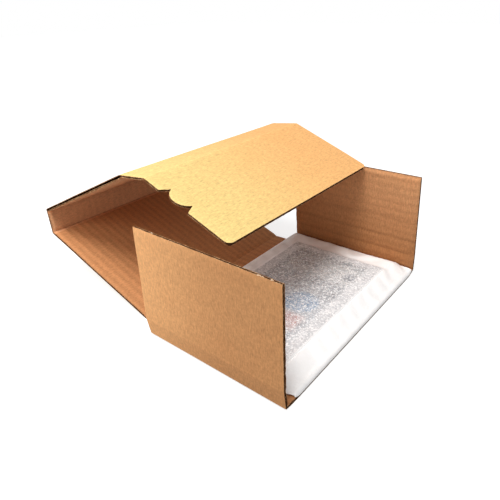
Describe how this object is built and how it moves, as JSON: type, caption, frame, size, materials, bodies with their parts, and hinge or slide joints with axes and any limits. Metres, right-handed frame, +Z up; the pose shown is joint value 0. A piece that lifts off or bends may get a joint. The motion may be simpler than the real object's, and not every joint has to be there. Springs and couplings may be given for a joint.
{
  "type": "graded card mailer",
  "caption": "Corrugated wrap mailer, standing open, with folding side flaps and a roll-over cover with a finger tab. A clear card case in a foam envelope lies on its base.",
  "frame": {"origin": "middle of the base panel's underside, on the ground", "axes": "+X from the base to its open front edge, +Y along the base from the near side flap to the far one, +Z up"},
  "size_m": [0.2457, 0.1905, 0.1146],
  "materials": {
    "board": "matte kraft",
    "foam": "translucent foam sheet",
    "clear_case": "clear, glossy",
    "card": "printed, satin",
    "label": "printed, matte"
  },
  "bodies": {
    "base": {"base_panel": "board", "foam_envelope": "foam", "case_back": "clear_case", "case_front": "clear_case", "trading_card": "card", "label_slip": "label"},
    "near_side_wall": {"near_side_wall": "board"},
    "near_inner_flap": {"near_inner_flap": "board"},
    "far_side_wall": {"far_side_wall": "board"},
    "far_inner_flap": {"far_inner_flap": "board"},
    "rear_wall": {"rear_wall": "board"},
    "top_panel": {"top_panel": "board"},
    "front_wall": {"front_wall": "board"},
    "under_panel": {"under_panel": "board"},
    "outer_rear_wall": {"outer_rear_wall": "board"},
    "closing_flap": {"closing_flap": "board"}
  },
  "joints": [
    {"name": "rear_wall_fold", "type": "hinge", "parent": "base", "child": "rear_wall", "pos_m": [-0.05775, 0, 0.0015], "axis": [0, -1, 0], "range_deg": [-40, 0]},
    {"name": "top_panel_fold", "type": "hinge", "parent": "rear_wall", "child": "top_panel", "pos_m": [-0.07475, 0, 0.0015], "axis": [0, -1, 0], "range_deg": [-36, 19.1]},
    {"name": "front_wall_fold", "type": "hinge", "parent": "top_panel", "child": "front_wall", "pos_m": [-0.18578, 0, 0.03995], "axis": [0, 1, 0], "range_deg": [-69, 20]},
    {"name": "under_panel_fold", "type": "hinge", "parent": "front_wall", "child": "under_panel", "pos_m": [-0.18645, 0, 0.06004], "axis": [0, 1, 0], "range_deg": [-67.2, 20]},
    {"name": "outer_rear_wall_fold", "type": "hinge", "parent": "under_panel", "child": "outer_rear_wall", "pos_m": [-0.07688, 0, 0.11043], "axis": [0, -1, 0], "range_deg": [-72, 18]},
    {"name": "closing_flap_fold", "type": "hinge", "parent": "outer_rear_wall", "child": "closing_flap", "pos_m": [-0.05384, 0, 0.11314], "axis": [0, -1, 0], "range_deg": [-62.5, 27.5]},
    {"name": "near_wall_fold", "type": "hinge", "parent": "base", "child": "near_side_wall", "pos_m": [0, -0.09275, 0.0023], "axis": [-1, 0, 0], "range_deg": [-81.4, 8.6]},
    {"name": "near_flap_fold", "type": "hinge", "parent": "near_side_wall", "child": "near_inner_flap", "pos_m": [0, -0.09484, 0.01614], "axis": [-1, 0, 0], "range_deg": [-8.6, 81.4]},
    {"name": "far_wall_fold", "type": "hinge", "parent": "base", "child": "far_side_wall", "pos_m": [0, 0.09275, 0.004], "axis": [1, 0, 0], "range_deg": [-95.4, 0]},
    {"name": "far_flap_fold", "type": "hinge", "parent": "far_side_wall", "child": "far_inner_flap", "pos_m": [0, 0.09143, 0.01794], "axis": [1, 0, 0], "range_deg": [-1.4, 83]}
  ]
}
